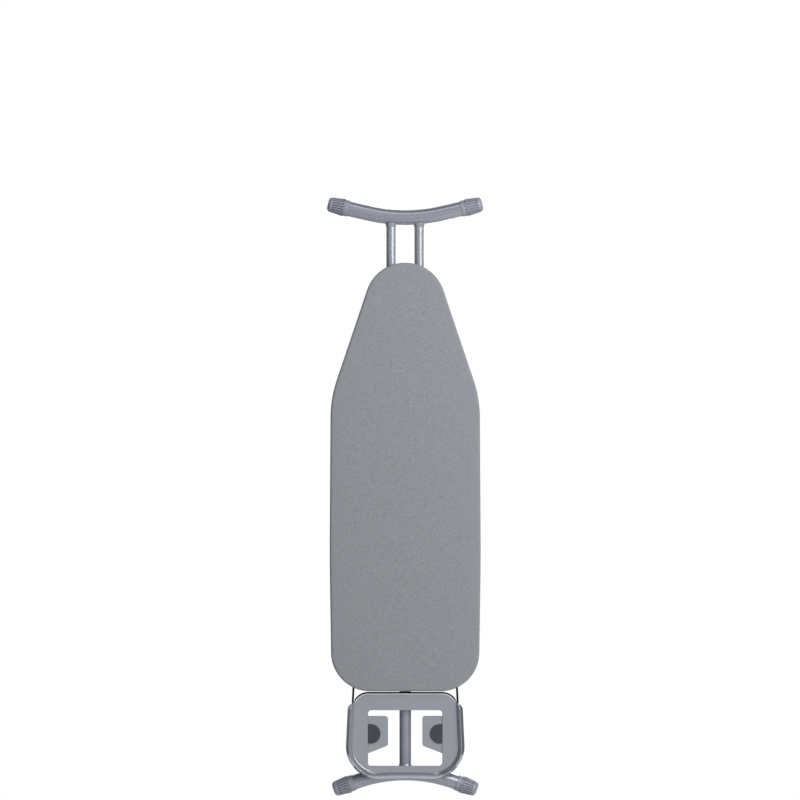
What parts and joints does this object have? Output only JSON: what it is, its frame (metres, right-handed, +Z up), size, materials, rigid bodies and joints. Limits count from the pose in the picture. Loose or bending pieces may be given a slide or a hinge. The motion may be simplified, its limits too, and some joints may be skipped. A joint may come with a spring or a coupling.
{
  "type": "ironing board",
  "caption": "Folding ironing board with a padded tapered top, scissor legs on arched foot bars, a notched height rack and an iron rest at the wide end",
  "frame": {"origin": "middle of the upper foot bar's centreline, where hooks carry the folded board", "axes": "+Z up along the hanging board towards its nose, -Y the way the ironing face looks, +X to the right of a viewer facing that face"},
  "size_m": [0.401, 0.0726, 1.534],
  "materials": {
    "cover_cloth": "woven, heathered grey",
    "pad_foam": "soft foam",
    "painted_steel": "satin grey paint",
    "gloss_steel": "gloss silver-grey paint",
    "deck_steel": "satin light grey paint",
    "plated_steel": "zinc plated",
    "black_wire": "gloss black paint",
    "grey_plastic": "moulded, fine texture",
    "dark_plastic": "moulded, fine texture",
    "nylon": "smooth",
    "pad_rubber": "matt silicone",
    "bumper_rubber": "matt"
  },
  "bodies": {
    "twin_leg": {"upper_foot_bar": "painted_steel", "pivot_bolt": "plated_steel", "pivot_nut": "plated_steel", "pivot_washers": "plated_steel", "pivot_spacers": "nylon", "hinge_bush_left": "nylon", "twin_tube_left": "gloss_steel", "twin_weld_left": "gloss_steel", "twin_plug_left": "grey_plastic", "upper_cap_left": "grey_plastic", "hinge_bush_right": "nylon", "twin_tube_right": "gloss_steel", "twin_weld_right": "gloss_steel", "twin_plug_right": "grey_plastic", "upper_cap_right": "grey_plastic"},
    "single_leg": {"lower_foot_bar": "painted_steel", "centre_tube": "painted_steel", "centre_weld": "painted_steel", "centre_plug": "grey_plastic", "pivot_bush": "nylon", "slide_pin": "plated_steel", "slide_bush_left": "nylon", "lower_cap_left": "grey_plastic", "slide_bush_right": "nylon", "lower_cap_right": "grey_plastic"},
    "board": {"cover": "cover_cloth", "foam_pad": "pad_foam", "deck_sheet": "deck_steel", "deck_rim": "deck_steel", "brace_nose": "deck_steel", "brace_upper": "deck_steel", "brace_lower": "deck_steel", "brace_tail": "deck_steel", "height_rack": "plated_steel", "lever_axle": "plated_steel", "axle_block_upper": "dark_plastic", "axle_block_lower": "dark_plastic", "lever_spring": "plated_steel", "leg_bumpers": "bumper_rubber", "rest_tray": "gloss_steel", "rest_trim": "bumper_rubber", "rest_wire": "black_wire", "clip_screws": "plated_steel", "hinge_bracket_left": "deck_steel", "hinge_pin_left": "plated_steel", "heat_pad_left": "pad_rubber", "wire_clip_left": "dark_plastic", "hinge_bracket_right": "deck_steel", "hinge_pin_right": "plated_steel", "heat_pad_right": "pad_rubber", "wire_clip_right": "dark_plastic"},
    "lever": {"height_lever": "plated_steel", "lever_grip": "dark_plastic"}
  },
  "joints": [
    {"name": "board_fold", "type": "hinge", "parent": "twin_leg", "child": "board", "pos_m": [0, 0, -1.151], "axis": [1, 0, 0], "range_deg": [0, 50]},
    {"name": "leg_scissor", "type": "hinge", "parent": "twin_leg", "child": "single_leg", "pos_m": [0, 0, -0.7125], "axis": [1, 0, 0], "range_deg": [0, 100]},
    {"name": "lever_squeeze", "type": "hinge", "parent": "board", "child": "lever", "pos_m": [0.062, -0.018, -0.5], "axis": [0, 0, -1], "range_deg": [0, 10.5], "stiffness_Nm_per_rad": 2, "springref_deg": -5.73, "deforming": ["lever_spring"]}
  ],
  "couplings": [
    {"joint": "leg_scissor", "follows": "board_fold", "ratio": 2}
  ]
}
